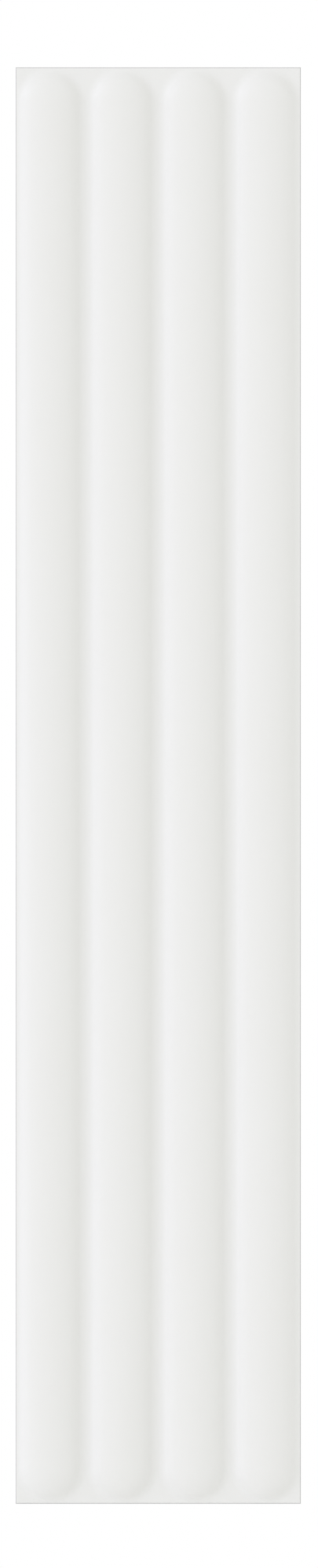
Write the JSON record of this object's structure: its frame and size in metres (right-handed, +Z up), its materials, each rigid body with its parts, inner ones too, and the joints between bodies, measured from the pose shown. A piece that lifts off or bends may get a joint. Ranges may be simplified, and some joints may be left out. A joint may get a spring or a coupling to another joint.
{
  "type": "ceramic skirting tile",
  "caption": "Long rectangular ceramic tile for the foot of a wall: convex reeds with domed ends stand on a flat slab with a satin white glaze, and its keyed back is bedded in adhesive.",
  "frame": {"origin": "centre of the flat back face, on the crossing of two lands between the keying pockets", "axes": "+Z up along the tile's length as pictured, +X across its width to the right as seen from the front, +Y out of the back into the wall, so that the reeded front faces -Y"},
  "size_m": [0.0988, 0.0115, 0.4988],
  "materials": {
    "glazed_clay": "satin"
  },
  "bodies": {
    "root": {"skirting_tile": "glazed_clay"}
  },
  "joints": []
}
